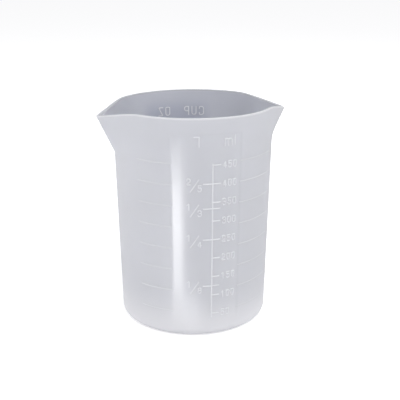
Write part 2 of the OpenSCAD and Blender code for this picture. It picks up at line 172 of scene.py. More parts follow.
@dataclass(frozen=True)
class CupForm:
    """Sizes of the cup in millimetres, and the rules that its surfaces follow."""

    base_d: float = 79.8
    rim_d: float = 85.56
    height: float = 117.8
    wall: float = 1.5
    floor: float = 2.5
    corner_r: float = 4.8
    rim_round: float = 0.5
    foot_w: float = 8.0
    foot_recess: float = 0.5
    spout_reach: float = 51.73
    tip_r: float = 4.3
    tip_wall: float = 2.6
    spout_drop: float = 4.7
    drop_power: float = 1.45
    keel_z: float = 91.5
    keel_bend: float = 2.0
    window_depth: float = 0.2
    window_low: float = 6.0
    window_high: float = 109.6
    window_slope: float = 1.5
    window_fade: float = 10.0
    front_window: tuple[float, float] = (-29.5, 20.0)
    back_window: tuple[float, float] = (-25.0, 25.0)

    @property
    def taper(self) -> float:
        """How much the radius grows for each millimetre up the wall."""
        return (self.rim_d - self.base_d) / 2 / self.height

    @property
    def slant(self) -> float:
        """Horizontal thickness of one millimetre of wall."""
        return 1 / math.cos(math.atan(self.taper))

    @property
    def tip_z(self) -> float:
        """Height of a spout's tip."""
        return self.height - self.spout_drop

    @property
    def windows(self) -> dict[Side, tuple[float, float]]:
        """Left and right edge of each side's window, in degrees from the side's middle."""
        return {Side.FRONT: self.front_window, Side.BACK: self.back_window}

    @property
    def lip_angle(self) -> float:
        """Angle from a spout's axis where its lips leave the round rim, in degrees."""
        across = self.wall_r(self.height) - self.tip_r
        return math.degrees(math.acos(across / (self.spout_reach - self.tip_r)))

    def wall_r(self, z: float | np.ndarray) -> float | np.ndarray:
        """Radius of the frosted wall's outside at height z."""
        return self.base_d / 2 + self.taper * z

    def keel_r(self, z: np.ndarray) -> np.ndarray:
        """Distance from the axis to a spout's keel, which leaves the wall in a short bend and runs straight.

        Args:
            z: height.

        Returns:
            The distance at each height. Below the spout it is the wall's radius.
        """
        rise = self.tip_z - self.keel_z - self.keel_bend / 2
        slope = (self.spout_reach - self.wall_r(self.keel_z)) / rise
        up = np.clip(z, self.keel_z, self.tip_z) - self.keel_z
        run = np.where(up < self.keel_bend, up**2 / (2 * self.keel_bend), up - self.keel_bend / 2)
        return np.maximum(self.wall_r(z), self.wall_r(np.minimum(z, self.keel_z)) + slope * run)

    def outline_r(self, turn: np.ndarray, z: np.ndarray, inset: np.ndarray) -> np.ndarray:
        """Radius of the cup's outline: the wall's circle, the tip's arc and the straight lips between.

        Args:
            turn: angle from the nearest spout's axis, in radians.
            z: height.
            inset: depth below the outer surface, square to the wall.

        Returns:
            The distance from the axis at each point.
        """
        grown = np.clip((z - self.keel_z) / (self.tip_z - self.keel_z), 0, 1)
        extra = (self.tip_wall - self.wall) * inset / self.wall * grown
        r = self.wall_r(z) - inset * self.slant
        tip_r = self.tip_r - inset
        tip_x = self.keel_r(z) - self.tip_r - extra
        touch = np.arccos(np.clip((r - tip_r) / tip_x, -1, 1))
        tip_end = np.arctan2(tip_r * np.sin(touch), tip_x + tip_r * np.cos(touch))
        b = np.abs(turn)
        arc = tip_x * np.cos(b) + np.sqrt(np.maximum(tip_r**2 - (tip_x * np.sin(b)) ** 2, 0))
        return np.where(b >= touch, r, np.where(b > tip_end, r / np.cos(b - touch), arc))

    def rim_z(self, turn: np.ndarray) -> np.ndarray:
        """Height of the rim at an angle from the nearest spout's axis, in radians."""
        share = np.clip(1 - np.abs(turn) / math.radians(self.lip_angle), 0, None)
        return self.height - self.spout_drop * share**self.drop_power

    def window_share(self, angle: np.ndarray, z: np.ndarray, slope: float, fade: float) -> np.ndarray:
        """How far a point lies inside a window, from 0 on the frosted wall to 1 on the polished one.

        Args:
            angle: angle about the axis, in degrees counter-clockwise from +X.
            z: height.
            slope: the width of the step at a window's sides and top.
            fade: the height over which it begins above its foot.

        Returns:
            The share at each point.
        """
        degrees = math.degrees(slope / self.wall_r(self.height / 2))
        across = np.zeros_like(angle)
        for side, (left, right) in self.windows.items():
            aside = (angle - side.heading + 180) % 360 - 180
            across = across + step_up(aside, left, degrees) * step_up(-aside, -right, degrees)
        low = step_up(z, self.window_low + fade / 2, fade)
        return across * low * step_up(-z, -self.window_high, slope)

    def level(self, millilitres: float) -> float:
        """Height that this much liquid reaches inside the cup, a cone with a rounded lower corner.

        Args:
            millilitres: the liquid's volume.

        Returns:
            The height above the table.
        """
        r_zero = self.base_d / 2 - self.wall * self.slant
        r_floor = r_zero + self.taper * self.floor
        r_corner = self.corner_r - self.wall
        # What the corner takes from the cone: a square less its quarter circle, and where its middle lies.
        taken = (1 - math.pi / 4) * r_corner**2
        centroid = (10 - 3 * math.pi) / (12 - 3 * math.pi)
        lost = 2 * math.pi * (r_floor - centroid * r_corner) * taken
        cubic_mm = millilitres * 1000 + lost
        return ((r_floor**3 + 3 * self.taper / math.pi * cubic_mm) ** (1 / 3) - r_zero) / self.taper


@dataclass(frozen=True)
class SiliconeFinish:
    """Translucent silicone, moulded against a blasted steel mould with two polished windows.

    The blasted mould leaves a fine matt grain that scatters light, so the wall glows evenly and hides what
    is behind it. The polished windows are smooth, so they mirror a lamp and show more of the inside. The
    clouds are the milky rubber's slight unevenness. The real grain is about 0.05 mm, too fine to show, so
    it is drawn coarser. The windows' roughness stays above 0.275, the least that a denoiser doesn't take
    for a mirror, because a surface that crosses it shows a line there.
    """

    frosted: str = "#e2e3e8"
    window: str = "#c8cbd7"
    # Painted highlight: the outer half of the rounded rim is painted lighter.
    rim: str = "#f1f2f6"
    # Painted shade: the inner half of the rim is painted darker.
    lip: str = "#c6c7cd"
    # The foot's colour: painted lighter towards the bottom as a glow of light through the floor. Its heavier
    # silicone also lets less through.
    thick: str = "#ebebef"
    rough_frosted: float = 0.6
    rough_window: float = 0.28
    through_frosted: float = 0.25
    through_window: float = 0.4
    through_thick: float = 0.08
    milk: float = 0.5
    milk_mm: float = 2.0
    ior: float = 1.41
    grain_mm: float = 0.35
    grain_deep_mm: float = 0.06
    grain_frosted: float = 0.25
    grain_window: float = 0.03
    cloud_mm: float = 24.0
    cloud_dark: float = 0.965
    cloud_light: float = 1.02

    def build(self) -> bpy.types.Material:
        """Makes the material, which reads the shell's own attributes.

        These are polish (a polished window), clear (how much shows through), rim (the outer half of the
        moulded edge, painted lighter as a highlight), lip (the inner half of that edge, painted darker as
        shade) and the heavy foot of the wall, which lets less through and is painted lighter towards the
        bottom as a glow.

        Returns:
            The finished material.
        """
        material, shader = start_material("moulded_translucent_silicone", {
            "IOR": self.ior, "Subsurface Weight": self.milk, "Subsurface Radius": (1.0, 1.0, 1.0),
            "Subsurface Scale": self.milk_mm * MM})
        tree = material.node_tree
        place = add_node(tree, "ShaderNodeTexCoord").outputs["Object"]
        polish, clear, rim, lip, thick = (
            add_node(tree, "ShaderNodeAttribute", attribute_name=name).outputs["Fac"]
            for name in ("polish", "clear", "rim", "lip", "thick"))
        clouds = add_node(tree, "ShaderNodeTexNoise", {
            "Vector": place, "Scale": 1 / (self.cloud_mm * MM), "Detail": 2.0}).outputs["Fac"]
        milk = add_node(tree, "ShaderNodeMapRange", {
            "Value": clouds, "To Min": self.cloud_dark, "To Max": self.cloud_light}).outputs[0]
        # From the wall's own colour outwards. A share with no colour is that of the clouds.
        tint = srgb(self.frosted)
        for share, colour in ((clear, self.window), (thick, self.thick), (milk, None), (lip, self.lip),
                              (rim, self.rim)):
            if colour is None:
                tint = add_node(tree, "ShaderNodeVectorMath", {0: tint, 1: share},
                                operation="MULTIPLY").outputs[0]
            else:
                tint = add_node(tree, "ShaderNodeMix", {
                    MIX_SHARE: share, COLOUR_A: tint, COLOUR_B: srgb(colour)},
                    data_type="RGBA").outputs[MIXED_COLOUR]
        rough = add_node(tree, "ShaderNodeMapRange", {
            "Value": polish, "To Min": self.rough_frosted, "To Max": self.rough_window}).outputs[0]
        thin = add_node(tree, "ShaderNodeMapRange", {
            "Value": clear, "To Min": self.through_frosted, "To Max": self.through_window}).outputs[0]
        through = add_node(tree, "ShaderNodeMix", {
            MIX_SHARE: thick, VALUE_A: thin, VALUE_B: self.through_thick}).outputs[0]
        grain = add_node(tree, "ShaderNodeTexNoise", {
            "Vector": place, "Scale": 1 / (self.grain_mm * MM), "Detail": 1.0}).outputs["Fac"]
        depth = add_node(tree, "ShaderNodeMapRange", {
            "Value": polish, "To Min": self.grain_frosted, "To Max": self.grain_window}).outputs[0]
        bump = add_node(tree, "ShaderNodeBump", {
            "Strength": depth, "Distance": self.grain_deep_mm * MM, "Height": grain}).outputs[0]
        for socket, value in (("Base Color", tint), ("Roughness", rough), ("Transmission Weight", through),
                              ("Normal", bump)):
            tree.links.new(value, shader.inputs[socket])
        return material


@dataclass(frozen=True)
class MarkFinish:
    """The same silicone where the mould has engraved marks: thicker and matt, so it reads whiter.

    Its grain, too, is drawn coarser than the real one, which is too fine to show.
    """

    colour: str = "#f2f3f7"
    rough: float = 0.5
    through: float = 0.08
    ior: float = 1.41
    grain_mm: float = 0.2
    grain_deep_mm: float = 0.04
    grain_strength: float = 0.2
    grain_dark: float = 0.97

    def build(self, name: str) -> bpy.types.Material:
        """Makes the material, with a fine grain in its colour and its surface.

        Args:
            name: the material's name.

        Returns:
            The finished material.
        """
        material, shader = start_material(name, {
            "IOR": self.ior, "Roughness": self.rough, "Transmission Weight": self.through})
        tree = material.node_tree
        place = add_node(tree, "ShaderNodeTexCoord").outputs["Object"]
        grain = add_node(tree, "ShaderNodeTexNoise", {
            "Vector": place, "Scale": 1 / (self.grain_mm * MM), "Detail": 1.0}).outputs["Fac"]
        shade = add_node(tree, "ShaderNodeMapRange", {"Value": grain, "To Min": self.grain_dark}).outputs[0]
        tint = add_node(tree, "ShaderNodeVectorMath", {0: srgb(self.colour)[:3], 1: shade},
                        operation="MULTIPLY").outputs[0]
        tree.links.new(tint, shader.inputs["Base Color"])
        bump = add_node(tree, "ShaderNodeBump", {
            "Strength": self.grain_strength, "Distance": self.grain_deep_mm * MM, "Height": grain}).outputs[0]
        tree.links.new(bump, shader.inputs["Normal"])
        return material


def finish_piece(piece: bpy.types.Object, node: str) -> None:
    """Hands a finished piece to the frame.

    Args:
        piece: the object, in place.
        node: the CAD node that it stands for.
    """
    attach(piece, BODY)
    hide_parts(node)
    log.info("%s stands for %s: %d faces", piece.name, node, len(piece.data.polygons))


@dataclass(frozen=True)
class Station:
    """One point of the cup's section, in millimetres.

    On a round skin, across is its radius. Elsewhere it is its depth below the outside, square to the wall.
    On the rim, up is how far it lies below the rim's edge. Elsewhere it is its height where the rim is level.
    """

    skin: Skin
    across: float
    up: float


@dataclass
class CupShell:
    """The moulding itself: floor, tapered wall, rim, both spouts and the recessed windows.

    The steps are those of its mesh, which is finer where it bends. The last fields give the bands of the
    finish: how far the rim's painted highlight reaches, where the polish and the clear wall fade out, and how
    high the heavy foot and its painted glow reach.
    """

    form: CupForm
    finish: SiliconeFinish = field(default_factory=SiliconeFinish)
    column_step: float = 2.5
    tip_step: float = 0.5
    tip_span: float = 7.0
    row_step: float = 3.0
    fine_step: float = 1.0
    keel_step: float = 0.75
    edge_gap: float = 0.6
    edge_shares: tuple[float, ...] = (-1, -0.35, 0.35, 1)
    round_steps: int = 5
    corner_steps: int = 9
    recess_rings: tuple[float, ...] = (0.35, 0.7)
    floor_rings: tuple[float, ...] = (0.8, 0.5, 0.2)
    foot_lip: float = 0.3
    # How far across the rounded rim its painted highlight reaches, as a share of the rounding.
    bright_rim: float = 0.9
    polish_fade: float = 26.0
    matt_band: float = 4.0
    clear_slope: float = 9.0
    inner_clear: float = 0.35
    thick_z: float = 14.0

    def columns(self) -> np.ndarray:
        """Angles of the mesh's columns about the axis, closer at the tips and at the windows' edges.

        Returns:
            Sorted angles in degrees, counter-clockwise from +X.
        """
        form = self.form
        angles = set(np.arange(0, 360, self.column_step))
        tip = np.arange(-self.tip_span, self.tip_span + self.tip_step / 2, self.tip_step)
        lips = [sign * form.lip_angle + beside for sign in (-1, 1) for beside in (-1, 0, 1)]
        for spout in (0, 180):
            angles |= {round(float(spout + a) % 360, 4) for a in (*tip, *lips)}
        half = math.degrees(form.window_slope / form.wall_r(form.height / 2)) / 2
        for side, edges in form.windows.items():
            for edge in edges:
                middle = (side.heading + edge) % 360
                angles = {a for a in angles if abs(a - middle) > 2 * half}
                angles |= {round((middle + share * half) % 360, 4) for share in self.edge_shares}
        return np.array(sorted(angles))

    def wall_heights(self, low: float, high: float, fine: bool) -> list[float]:
        """Heights of the rows of the wall, as they lie where the rim is level.

        Args:
            low: the lowest row.
            high: the highest row.
            fine: whether the rows of the windows' upper edge are wanted.

        Returns:
            The heights, from low to high.
        """
        form, step = self.form, self.fine_step
        rows = set(np.arange(low + self.row_step, high - step, self.row_step))
        rows |= set(np.arange(low + step, form.window_low + form.window_fade + 4 * step, step))
        rows |= set(np.arange(form.keel_z - step, form.keel_z + form.keel_bend + step, self.keel_step))
        if fine:
            half, edge = form.window_slope / 2, form.window_high
            rows = {z for z in rows if abs(z - edge) > 2 * half}
            rows |= {edge + share * half for share in self.edge_shares}
        return [low, *sorted(z for z in rows if low < z < high), high]

    def corner(self, low: float, inset: float, r: float) -> tuple[float, list[Station]]:
        """The rounded corner between one skin's bottom and its wall.

        Args:
            low: the height of the bottom.
            inset: how deep the skin lies below the outside.
            r: the corner's radius.

        Returns:
            The radius about the axis where the corner starts, and its points.
        """
        form = self.form
        start = form.wall_r(low + r) - (inset + r) * form.slant
        angles = np.linspace(0, math.pi / 2 - math.atan(form.taper), self.corner_steps)
        return start, [Station(Skin.ROUND, start + r * math.sin(a), low + r - r * math.cos(a))
                       for a in angles]

    def section(self) -> list[Station]:
        """Points around the cup's section, from the middle of the underside to the middle of the floor.

        Returns:
            The points, without the two middles.
        """
        form, lip, recess = self.form, self.foot_lip, self.form.foot_recess
        outer_start, outer = self.corner(0, 0, form.corner_r)
        inner_start, inner = self.corner(form.floor, form.wall, form.corner_r - form.wall)
        step_r = outer_start - form.foot_w
        under = [(step_r * share, recess) for share in self.recess_rings]
        under += [(step_r - lip, recess), (step_r, recess - lip / 2), (step_r + lip / 2, lip / 3),
                  (step_r + lip, 0), ((step_r + outer_start) / 2, 0)]
        foot = [Station(Skin.ROUND, across, up) for across, up in under]
        floor = [Station(Skin.ROUND, inner_start * share, form.floor) for share in self.floor_rings]
        quarter = np.linspace(0, math.pi / 2, self.round_steps)
        curve = [(form.rim_round * (1 - math.cos(a)), form.rim_round * (1 - math.sin(a))) for a in quarter]
        rim = [Station(Skin.RIM, across, down) for across, down in curve]
        rim += [Station(Skin.RIM, form.wall - across, down) for across, down in reversed(curve)]
        top, gap = form.height - form.rim_round, self.edge_gap
        up = [Station(Skin.OUTER, 0, z) for z in self.wall_heights(outer[-1].up + gap, top - gap, True)]
        down = [Station(Skin.INNER, form.wall, z)
                for z in self.wall_heights(inner[-1].up + gap, top - gap, False)]
        return [*foot, *outer, *up, *rim, *reversed(down), *reversed(inner), *floor]

    def looks(self, station: Station, angles: np.ndarray, z: np.ndarray) -> dict[str, np.ndarray]:
        """What the finish has to know about each point of one row.

        Args:
            station: the row's place in the section.
            angles: the columns' angles in degrees.
            z: the row's heights.

        Returns:
            The finish's attributes by name, each from 0 to 1.
        """
        form, on_rim = self.form, station.skin is Skin.RIM
        on_wall = station.skin is not Skin.ROUND
        # The heavy foot lets less through, and its share paints the wall lighter towards the bottom as a
        # glow.
        thick = 1 - step_up(z, self.thick_z, 2 * (self.thick_z - form.floor))
        matt = step_up(-z, self.matt_band - form.window_high, self.matt_band)
        polish = form.window_share(angles, z, form.window_slope, self.polish_fade)
        clear = form.window_share(angles, z, self.clear_slope, self.polish_fade)
        clear = self.inner_clear + (1 - self.inner_clear) * clear * (1 - thick)
        return {
            "polish": polish * matt * on_wall,
            "clear": clear * (station.skin is Skin.INNER),
            # Painted highlight on the rim's outer half, and painted shade on its inner half.
            "rim": np.full_like(z, on_rim and station.across < form.rim_round * self.bright_rim),
            "lip": np.full_like(z, on_rim and station.across > form.wall / 2),
            "thick": thick,
        }

    def rows(self, angles: np.ndarray) -> tuple[list[np.ndarray], dict[str, list[np.ndarray]]]:
        """Lays the section's points around the cup.

        Args:
            angles: the columns' angles in degrees.

        Returns:
            The points of each row in millimetres, and each attribute's values in each row.
        """
        form = self.form
        turns = np.radians(angles)
        spout_turn = (turns + math.pi / 2) % math.pi - math.pi / 2
        rim_z = form.rim_z(spout_turn)
        stretch = (rim_z - form.keel_z) / (form.height - form.keel_z)
        rows, looks = [], {}
        for station in self.section():
            across, up = np.full_like(turns, station.across), np.full_like(turns, station.up)
            if station.skin is Skin.ROUND:
                r, z = across, up
            else:
                if station.skin is Skin.RIM:
                    z = rim_z - up
                else:
                    z = np.where(up > form.keel_z, form.keel_z + (up - form.keel_z) * stretch, up)
                r = form.outline_r(spout_turn, z, across)
            if station.skin is Skin.OUTER:
                share = form.window_share(angles, z, form.window_slope, form.window_fade)
                r = r - form.window_depth * share
            rows.append(np.stack([r * np.cos(turns), r * np.sin(turns), z], axis=1))
            for name, values in self.looks(station, angles, z).items():
                looks.setdefault(name, []).append(values)
        return rows, looks

    def build(self) -> bpy.types.Object:
        """Makes the closed shell with its attributes and its finish.

        Returns:
            The shell's object.
        """
        angles = self.columns()
        rows, looks = self.rows(angles)
        # The points are the rows in turn, and then the middles of the underside and of the floor.
        middles = [[0, 0, self.form.foot_recess]], [[0, 0, self.form.floor]]
        n, last = len(angles), (len(rows) - 1) * len(angles)
        under, bottom = last + n, last + n + 1
        pairs = [(i, (i + 1) % n) for i in range(n)]
        faces = [(low + i, low + j, low + n + j, low + n + i) for low in range(0, last, n) for i, j in pairs]
        for i, j in pairs:
            faces += [(under, j, i), (bottom, last + i, last + j)]
        mesh = bpy.data.meshes.new("cup_shell")
        mesh.from_pydata((np.concatenate([*rows, *middles]) * MM).tolist(), [], faces)
        for name, values in looks.items():
            attribute = mesh.attributes.new(name, "FLOAT", "POINT")
            poles = [values[0][0], values[-1][0]]
            attribute.data.foreach_set("value", np.concatenate([*values, poles]).astype(np.float32))
        mesh.shade_smooth()
        mesh.materials.append(self.finish.build())
        shell = add_object("cup_shell", mesh)
        finish_piece(shell, "cup_body")
        return shell


# A path's points have a third number, the bend or the size there. A stroke says whether it is a closed loop.
Point = tuple[float, float]
Path = list[tuple[float, float, float]]
Stroke = tuple[list[Point], bool]

# Paths of each sign's strokes. A point is (x, y, bend): x from -1 to 1 across the sign, y from 0 at its foot
# to 1 at its head, and the radius of the bend there as a share of half the width. A path that ends where it
# began is a closed loop.
LETTERS: dict[str, list[Path]] = {
    "0": [[(0, 1, 0), (1, 1, 1), (1, 0, 1), (-1, 0, 1), (-1, 1, 1), (0, 1, 0)]],
    "1": [[(-0.8, 0.8, 0), (0.1, 1, 0.15), (0.1, 0, 0)]],
    "2": [[(-1, 0.74, 0), (-1, 1, 1), (1, 1, 1), (1, 0.56, 0.7), (-1, 0.12, 0.4), (-1, 0, 0.1), (1, 0, 0)]],
    "3": [[(-1, 0.8, 0), (-1, 1, 0.9), (1, 1, 0.9), (1, 0.53, 0.9), (-0.1, 0.53, 0)],
          [(-0.1, 0.53, 0), (1, 0.53, 0.9), (1, 0, 1), (-1, 0, 1), (-1, 0.2, 0)]],
    "4": [[(0.45, 0, 0), (0.45, 1, 0.15), (-1, 0.28, 0.15), (1, 0.28, 0)]],
    "5": [[(0.85, 1, 0), (-0.8, 1, 0.15), (-0.95, 0.54, 0.15), (-0.3, 0.64, 0.8), (1, 0.64, 1), (1, 0, 1),
           (-1, 0, 1), (-1, 0.18, 0)]],
    "6": [[(0.9, 0.82, 0), (0.9, 1, 0.9), (-1, 1, 1), (-1, 0, 1), (1, 0, 1), (1, 0.6, 1), (-1, 0.6, 1),
           (-1, 0.3, 0)]],
    "8": [[(0, 0.53, 0), (0.9, 0.53, 0.85), (0.9, 1, 0.9), (-0.9, 1, 0.9), (-0.9, 0.53, 0.85), (0, 0.53, 0)],
          [(0, 0.53, 0), (1, 0.53, 0.95), (1, 0, 1), (-1, 0, 1), (-1, 0.53, 0.95), (0, 0.53, 0)]],
    "/": [[(-1, 0, 0), (1, 1, 0)]],
    "l": [[(0, 0, 0), (0, 1, 0)]],
    "m": [[(-1, 0, 0), (-1, 1, 0)], [(-1, 0.55, 0), (-1, 1, 0.5), (0, 1, 0.5), (0, 0, 0)],
          [(0, 0.55, 0), (0, 1, 0.5), (1, 1, 0.5), (1, 0, 0)]],
    "L": [[(-1, 1, 0), (-1, 0, 0.15), (1, 0, 0)]],
    "C": [[(1, 0.76, 0), (1, 1, 1), (-1, 1, 1), (-1, 0, 1), (1, 0, 1), (1, 0.24, 0)]],
    "U": [[(-1, 1, 0), (-1, 0, 1), (1, 0, 1), (1, 1, 0)]],
    "P": [[(-1, 0, 0), (-1, 1, 0.15), (1, 1, 0.95), (1, 0.46, 0.95), (-1, 0.46, 0)]],
    "Z": [[(-1, 1, 0), (1, 1, 0.15), (-1, 0, 0.15), (1, 0, 0)]],
}
LETTERS["O"] = LETTERS["0"]


def bend_path(path: Path, steps: int = 5) -> Stroke:
    """Rounds a path's corners with arcs that touch both of their sides.

    Args:
        path: points as (x, y, radius), in millimetres.
        steps: points along each arc.

    Returns:
        The rounded path, and whether it is a closed loop.
    """
    # Two bends may share a side, so each takes a little less than half. A shorter reach is no bend.
    just_half, sharp = 0.499, 1e-4
    closed = path[0][:2] == path[-1][:2]
    rounded = [] if closed else [path[0][:2]]
    for before, here, after in zip(path, path[1:-1], path[2:]):
        corner = Vector(here[:2])
        back, on = Vector(before[:2]) - corner, Vector(after[:2]) - corner
        half_turn = back.angle(on) / 2
        reach = min(here[2] / math.tan(half_turn), back.length * just_half, on.length * just_half)
        if reach < sharp:
            rounded.append(tuple(corner))
            continue
        r = reach * math.tan(half_turn)
        middle = corner + (back.normalized() + on.normalized()).normalized() * (r / math.sin(half_turn))
        start = corner + back.normalized() * reach - middle
        sweep = math.pi - 2 * half_turn
        sweep = -sweep if back.x * on.y - back.y * on.x > 0 else sweep
        for i in range(steps + 1):
            spoke = start.copy()
            spoke.rotate(Matrix.Rotation(sweep * i / steps, 2))
            rounded.append(tuple(middle + spoke))
    if not closed:
        rounded.append(path[-1][:2])
    return rounded, closed


@dataclass(frozen=True)
class MarkSizes:
    """Sizes of the raised marks in millimetres, and the columns of the scales in degrees from their ruler.

    The marks at the back have roots that reach through the wall, because they show on its inside as well.
    """

    line_w: float = 0.7
    stroke: float = 0.6
    relief: float = 0.3
    ring_relief: float = 0.08
    root: float = 0.1
    through_root: float = 1.34
    ring_end: float = 56.0
    ruler_bottom: float = 11.5
    front_ruler: float = -1.0
    back_ruler: float = -3.0
    tick_short: float = 5.2
    tick_long: float = 6.2
    number_h: float = 3.9
    number_w: float = 2.2
    number_pitch: float = 2.85
    heading_h: float = 5.3
    capital_w: float = 3.1
    capital_gap: float = 1.4
    small_m_w: float = 4.4
    small_m_h: float = 4.0
    small_l_gap: float = 1.5
    front_heading_z: float = 103.4
    back_heading_z: float = 102.8
    fraction_h: float = 3.6
    fraction_side: float = 2.75
    fraction_fall: float = 0.4
    slash_w: float = 4.6
    slash_h: float = 6.6
    slash_shift: float = 0.2
    whole_side: float = 5.4
    ml_number_column: float = 7.0
    ml_heading_column: float = 8.0
    litre_heading_column: float = 11.1
    fraction_column: float = 12.9
    oz_number_column: float = 7.2
    oz_heading_column: float = 7.4
    cup_heading_column: float = 20.5
    ounce_ml: float = 28.41


def mark_tree(steps: int = 8) -> bpy.types.NodeTree:
    """Builds the Geometry Nodes that raise flat strokes as round-backed ridges and wrap them on the wall.

    A flat stroke has its way along the wall in X and its height in Y. The ridge's profile is half an
    ellipse on a straight root that reaches below the surface. Its own Y points into the wall. Point 0 and
    the last one are the root's corners, and the arc lies between them.

    Args:
        steps: pieces of the ridge's arc.

    Returns:
        The node group.
    """
    tree = bpy.data.node_groups.new("ridges_on_a_tapered_wall", "GeometryNodeTree")
    sizes = ("Half Width", "Relief", "Root", "Foot Radius", "Taper", "Unrolled Radius", "Side Turn")
    for name, way, kind in (("Strokes", "INPUT", "Geometry"), *((name, "INPUT", "Float") for name in sizes),
                            ("Finish", "INPUT", "Material"), ("Ridges", "OUTPUT", "Geometry")):
        tree.interface.new_socket(name, in_out=way, socket_type="NodeSocket" + kind)
    given = add_node(tree, "NodeGroupInput").outputs
    order = add_node(tree, "GeometryNodeInputIndex").outputs[0]
    arc = add_node(tree, "ShaderNodeMapRange", {
        "Value": order, "From Min": 1.0, "From Max": steps + 1.0, "To Max": math.pi}).outputs[0]
    point = add_node(tree, "GeometryNodeInputPosition").outputs[0]
    along, up, lift = add_node(tree, "ShaderNodeSeparateXYZ", {0: point}).outputs
    known = {name: given[name] for name in sizes}
    known |= {"order": order, "arc": arc, "along": along, "up": up, "lift": lift}
    # The arithmetic, a line for each step: its result, its operation, and what it works on.
    for result, operation, *inputs in (
        ("arc_sine", "SINE", "arc"),
        ("rise", "MULTIPLY", "Relief", "arc_sine"),
        ("arc_cosine", "COSINE", "arc"),
        ("across", "MULTIPLY", "Half Width", "arc_cosine"),
        ("from_middle", "SUBTRACT", "order", steps / 2 + 1),
        ("off_middle", "ABSOLUTE", "from_middle"),
        ("is_root", "GREATER_THAN", "off_middle", steps / 2 + 0.5),
        ("fall", "MULTIPLY", "Root", "is_root"),
        ("depth", "SUBTRACT", "fall", "rise"),
        ("aside", "DIVIDE", "along", "Unrolled Radius"),
        ("turn", "ADD", "aside", "Side Turn"),
        ("wall", "MULTIPLY_ADD", "up", "Taper", "Foot Radius"),
        ("radius", "ADD", "wall", "lift"),
        ("turn_sine", "SINE", "turn"),
        ("x", "MULTIPLY", "radius", "turn_sine"),
        ("turn_cosine", "COSINE", "turn"),
        ("ahead", "MULTIPLY", "radius", "turn_cosine"),
        ("y", "MULTIPLY", "ahead", -1.0),
    ):
        links = {i: known.get(value, value) for i, value in enumerate(inputs)}
        known[result] = add_node(tree, "ShaderNodeMath", links, operation=operation).outputs[0]
    corner = add_node(tree, "ShaderNodeCombineXYZ", {0: known["across"], 1: known["depth"]})
    place = add_node(tree, "ShaderNodeCombineXYZ", {0: known["x"], 1: known["y"], 2: up})
    line = add_node(tree, "GeometryNodeMeshLine", {"Count": steps + 3})
    outline = add_node(tree, "GeometryNodeMeshToCurve", {"Mesh": line.outputs[0]})
    bent = add_node(tree, "GeometryNodeSetPosition", {
        "Geometry": outline.outputs[0], "Position": corner.outputs[0]})
    profile = add_node(tree, "GeometryNodeSetSplineCyclic", {"Geometry": bent.outputs[0], "Cyclic": True})
    upright = add_node(tree, "GeometryNodeSetCurveNormal", {"Curve": given["Strokes"]}, mode="Z_UP")
    swept = add_node(tree, "GeometryNodeCurveToMesh", {
        "Curve": upright.outputs[0], "Profile Curve": profile.outputs[0], "Fill Caps": True})
    wrapped = add_node(tree, "GeometryNodeSetPosition", {
        "Geometry": swept.outputs[0], "Position": place.outputs[0]})
    real = add_node(tree, "GeometryNodeRealizeInstances", {"Geometry": wrapped.outputs[0]})
    dressed = add_node(tree, "GeometryNodeSetMaterial", {
        "Geometry": real.outputs[0], "Material": given["Finish"]})
    add_node(tree, "NodeGroupOutput", {"Ridges": dressed.outputs[0]})
    return tree


